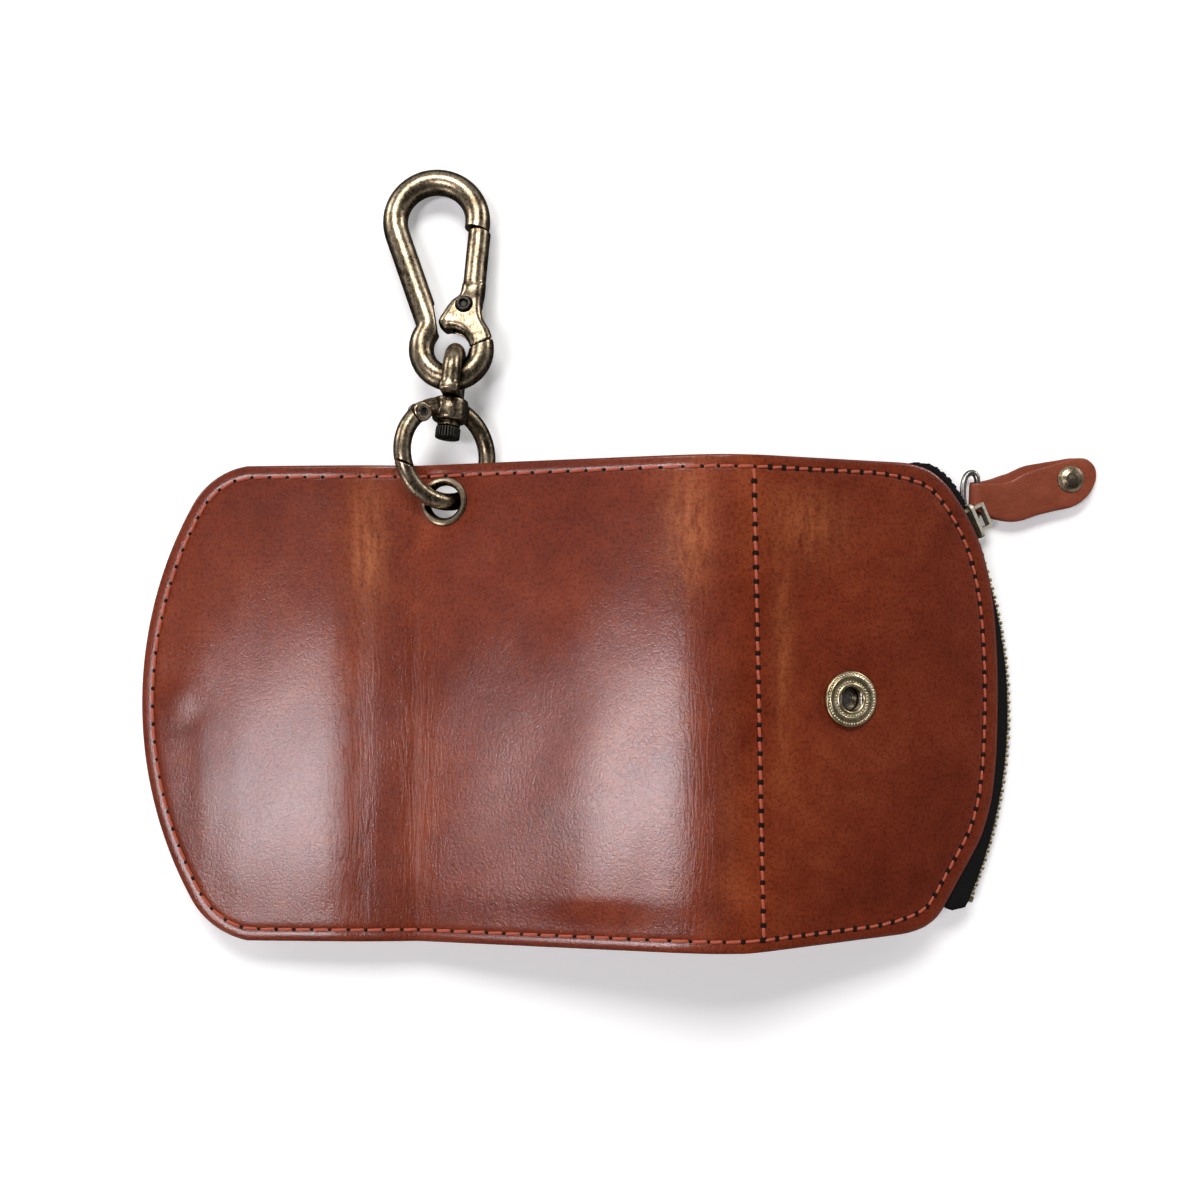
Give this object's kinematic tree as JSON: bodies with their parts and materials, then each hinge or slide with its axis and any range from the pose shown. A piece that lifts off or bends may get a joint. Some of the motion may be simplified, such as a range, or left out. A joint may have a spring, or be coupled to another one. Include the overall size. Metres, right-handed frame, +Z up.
{
  "type": "key case",
  "caption": "Trifold leather key case with a zip pocket, snap closure, inner key hooks and a gate ring with swivel carabiner, lying open with its outer face up.",
  "frame": {"origin": "centre of the bounding box at its bottom, on the surface that the open case lies on", "axes": "+X from the flap to the zip pocket, +Y to the carabiner end, +Z up, out of the outer face"},
  "size_m": [0.2128, 0.1716, 0.0235],
  "materials": {
    "outer_leather": "smooth glazed full-grain leather, reddish brown",
    "lining_leather": "matte lining leather, brown",
    "thread": "waxed polyester thread, orange red",
    "zip_tape": "woven black tape",
    "pale_brass": "pale brass",
    "antique_brass": "antique brass, dark in its recesses",
    "nickel_steel": "nickel plate",
    "dark_steel": "dark steel wire"
  },
  "bodies": {
    "center": {"lining_center": "lining_leather", "outer_leather_center": "outer_leather", "eyelet_front": "antique_brass", "eyelet_washer": "antique_brass", "key_plate": "nickel_steel", "key_rod": "nickel_steel", "key_plate_rivets": "nickel_steel", "stitching_center": "thread"},
    "spine_left": {"lining_spine_left": "lining_leather", "outer_leather_spine_left": "outer_leather", "stitching_spine_left": "thread"},
    "flap": {"lining_flap": "lining_leather", "outer_leather_flap": "outer_leather", "snap_stud": "nickel_steel", "snap_stud_post": "nickel_steel", "stitching_flap": "thread"},
    "spine_right": {"lining_spine_right": "lining_leather", "outer_leather_spine_right": "outer_leather", "stitching_spine_right": "thread"},
    "pocket": {"outer_leather_pocket": "outer_leather", "pocket_back": "lining_leather", "snap_socket": "pale_brass", "snap_socket_spring": "dark_steel", "snap_socket_cap": "pale_brass", "zipper_tape_upper": "zip_tape", "zipper_tape_lower": "zip_tape", "zipper_teeth_upper": "pale_brass", "zipper_teeth_lower": "pale_brass", "zipper_bottom_stop": "pale_brass", "stitching_pocket": "thread"},
    "gate_ring": {"gate_ring_body": "antique_brass", "gate_ring_pin": "antique_brass", "gate_ring_spring": "dark_steel"},
    "gate_ring_gate": {"gate_ring_gate": "antique_brass"},
    "swivel": {"swivel_loop": "antique_brass", "swivel_shank_head": "antique_brass"},
    "carabiner": {"carabiner_body": "antique_brass", "carabiner_pin": "antique_brass", "carabiner_spring": "dark_steel"},
    "carabiner_gate": {"carabiner_gate": "antique_brass"},
    "slider": {"zipper_slider": "pale_brass"},
    "bail": {"slider_bail": "dark_steel"},
    "pull_tab": {"pull_tab_leather": "outer_leather", "pull_tab_rivet": "antique_brass", "pull_tab_rivet_back": "antique_brass"},
    "key_hook_1": {"key_hook_1": "nickel_steel"},
    "key_hook_2": {"key_hook_2": "nickel_steel"},
    "key_hook_3": {"key_hook_3": "nickel_steel"},
    "key_hook_4": {"key_hook_4": "nickel_steel"}
  },
  "joints": [
    {"name": "fold_right", "type": "hinge", "parent": "center", "child": "spine_right", "pos_m": [0.01617, -0.03349, 0.02105], "axis": [0, 1, 0], "range_deg": [0, 76.5]},
    {"name": "fold_pocket", "type": "hinge", "parent": "spine_right", "child": "pocket", "pos_m": [0.02617, -0.03349, 0.02105], "axis": [0, 1, 0], "range_deg": [0, 73]},
    {"name": "fold_left", "type": "hinge", "parent": "center", "child": "spine_left", "pos_m": [-0.04421, -0.03349, 0.00655], "axis": [0, -1, 0], "range_deg": [0, 101.56]},
    {"name": "fold_flap", "type": "hinge", "parent": "spine_left", "child": "flap", "pos_m": [-0.05901, -0.03349, 0.00605], "axis": [0, -1, 0], "range_deg": [0, 88.91]},
    {"name": "ring_turn", "type": "hinge", "parent": "center", "child": "gate_ring", "pos_m": [-0.03853, 0.02121, 0.00904], "axis": [-0.5736, 0, -0.8192], "range_deg": [-40, 45]},
    {"name": "ring_gate_open", "type": "hinge", "parent": "gate_ring", "child": "gate_ring_gate", "pos_m": [-0.04371, 0.02959, 0.01267], "axis": [0.5736, 0, 0.8192], "range_deg": [0, 20], "stiffness_Nm_per_rad": 0.02, "springref_deg": -17.19},
    {"name": "swivel_turn", "type": "hinge", "parent": "gate_ring", "child": "swivel", "pos_m": [-0.03763, 0.03014, 0.00842], "axis": [0.0998, 0.9925, -0.0699], "continuous": true},
    {"name": "carabiner_sway", "type": "hinge", "parent": "swivel", "child": "carabiner", "pos_m": [-0.0374, 0.04464, 0.00742], "axis": [-0.013, 0.1107, 0.9938], "range_deg": [-45, 45]},
    {"name": "carabiner_gate_open", "type": "hinge", "parent": "carabiner", "child": "carabiner_gate", "pos_m": [-0.03453, 0.05401, 0.00641], "axis": [-0.013, 0.1107, 0.9938], "range_deg": [0, 25], "stiffness_Nm_per_rad": 0.03, "springref_deg": -17.19},
    {"name": "slider_run", "type": "hinge", "parent": "pocket", "child": "slider", "pos_m": [-0.00161, -0.03549, 0.0287], "axis": [0.2924, 0, 0.9563], "range_deg": [-50, 0], "deforming": ["zipper_tape_upper", "zipper_tape_lower", "zipper_teeth_upper", "zipper_teeth_lower"]},
    {"name": "bail_swing", "type": "hinge", "parent": "slider", "child": "bail", "pos_m": [0.08052, 0.00808, 0.00359], "axis": [0.2924, 0, 0.9563], "range_deg": [-75, 4]},
    {"name": "pull_tab_flip", "type": "hinge", "parent": "bail", "child": "pull_tab", "pos_m": [0.08018, 0.01457, 0.00171], "axis": [0.0334, 0.9994, -0.0102], "range_deg": [-40, 60], "deforming": ["pull_tab_leather", "pull_tab_rivet", "pull_tab_rivet_back"]},
    {"name": "key_hook_1_swing", "type": "hinge", "parent": "center", "child": "key_hook_1", "pos_m": [-0.02365, -0.00049, 0.0083], "axis": [-0.9724, 0, -0.2334], "range_deg": [-95, 0]},
    {"name": "key_hook_2_swing", "type": "hinge", "parent": "center", "child": "key_hook_2", "pos_m": [-0.01354, -0.00049, 0.01072], "axis": [-0.9724, 0, -0.2334], "range_deg": [-95, 0]},
    {"name": "key_hook_3_swing", "type": "hinge", "parent": "center", "child": "key_hook_3", "pos_m": [-0.00343, -0.00049, 0.01315], "axis": [-0.9724, 0, -0.2334], "range_deg": [-95, 0]},
    {"name": "key_hook_4_swing", "type": "hinge", "parent": "center", "child": "key_hook_4", "pos_m": [0.00668, -0.00049, 0.01558], "axis": [-0.9724, 0, -0.2334], "range_deg": [-95, 0]}
  ],
  "couplings": [
    {"joint": "fold_pocket", "follows": "fold_right", "ratio": 0.95425},
    {"joint": "fold_flap", "follows": "fold_left", "ratio": 0.87544}
  ]
}
